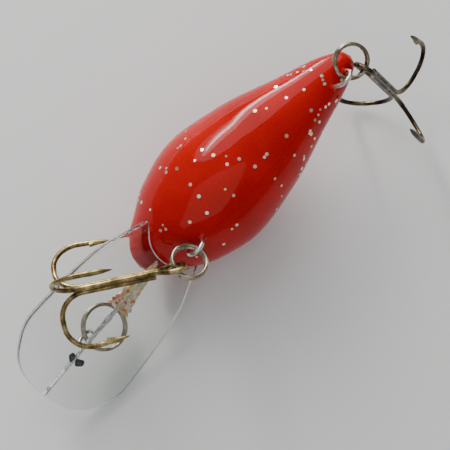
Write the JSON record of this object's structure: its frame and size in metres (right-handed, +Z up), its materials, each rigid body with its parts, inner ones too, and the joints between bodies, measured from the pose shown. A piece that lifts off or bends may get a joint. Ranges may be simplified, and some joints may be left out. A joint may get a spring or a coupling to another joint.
{
  "type": "crankbait fishing lure",
  "caption": "Deep-diving crankbait: fat glossy teardrop body, clear oval bill, wire line tie with split ring, belly and tail treble hooks on split rings.",
  "frame": {"origin": "centre of the underside of the lure's bounding box, on the table it lies on", "axes": "+X along the lure towards the bill tip, +Y across it, +Z up; the lure lies on its right flank and the bill's edge, belly and bill face turned up"},
  "size_m": [0.1038, 0.0344, 0.0332],
  "materials": {
    "painted_shell": "gloss lacquer, fluorescent red-orange with silver and gold glitter flakes",
    "clear_bill": "clear moulded, polished",
    "stainless_wire": "bright drawn wire",
    "nickel_ring": "nickel plated spring wire",
    "bronze_hook": "golden bronze lacquer on steel",
    "dark_hook": "dark bronze on steel",
    "weight_metal": "plain turned",
    "ball_steel": "polished bearing ball"
  },
  "bodies": {
    "lure_body": {"body_shell_left": "painted_shell", "body_shell_right": "painted_shell", "bill_half_left": "clear_bill", "bill_half_right": "clear_bill", "line_tie_wire": "stainless_wire", "belly_hook_hanger": "stainless_wire", "tail_hook_hanger": "stainless_wire", "ballast_weight": "weight_metal"},
    "line_tie_ring": {"line_tie_split_ring": "nickel_ring"},
    "belly_ring": {"belly_split_ring": "nickel_ring"},
    "belly_treble": {"belly_treble_double_hook": "bronze_hook", "belly_treble_single_hook": "bronze_hook"},
    "tail_ring": {"tail_split_ring": "nickel_ring"},
    "tail_treble": {"tail_treble_double_hook": "dark_hook", "tail_treble_single_hook": "dark_hook"},
    "rear_ball": {"rattle_ball_rear": "ball_steel"},
    "front_ball": {"rattle_ball_front": "ball_steel"}
  },
  "joints": [
    {"name": "line_tie_ring_swing", "type": "hinge", "parent": "lure_body", "child": "line_tie_ring", "pos_m": [0.03802, -0.00201, 0.00693], "axis": [0.2848, 0.8876, -0.362], "range_deg": [-55, 4]},
    {"name": "belly_ring_swing", "type": "hinge", "parent": "lure_body", "child": "belly_ring", "pos_m": [0.012, 0.00261, 0.01933], "axis": [0.1715, -0.9747, -0.1435], "range_deg": [0, 70]},
    {"name": "belly_treble_swing", "type": "hinge", "parent": "belly_ring", "child": "belly_treble", "pos_m": [0.01795, 0.00354, 0.02163], "axis": [0.6028, -0.7614, -0.2388], "range_deg": [-8, 55]},
    {"name": "tail_ring_swing", "type": "hinge", "parent": "lure_body", "child": "tail_ring", "pos_m": [-0.03059, -0.00038, 0.0259], "axis": [-0.5056, 0.7877, -0.3519], "range_deg": [-20, 60]},
    {"name": "tail_treble_swing", "type": "hinge", "parent": "tail_ring", "child": "tail_treble", "pos_m": [-0.03494, 0.00108, 0.02592], "axis": [-0.8754, -0.3253, 0.3576], "range_deg": [-80, 6]},
    {"name": "rear_ball_roll", "type": "slide", "parent": "lure_body", "child": "rear_ball", "axis": [0.9711, 0, -0.2385], "range_m": [-0.0027, 0]},
    {"name": "front_ball_roll", "type": "slide", "parent": "lure_body", "child": "front_ball", "axis": [0.9711, 0, -0.2385], "range_m": [-0.0027, 0]}
  ]
}
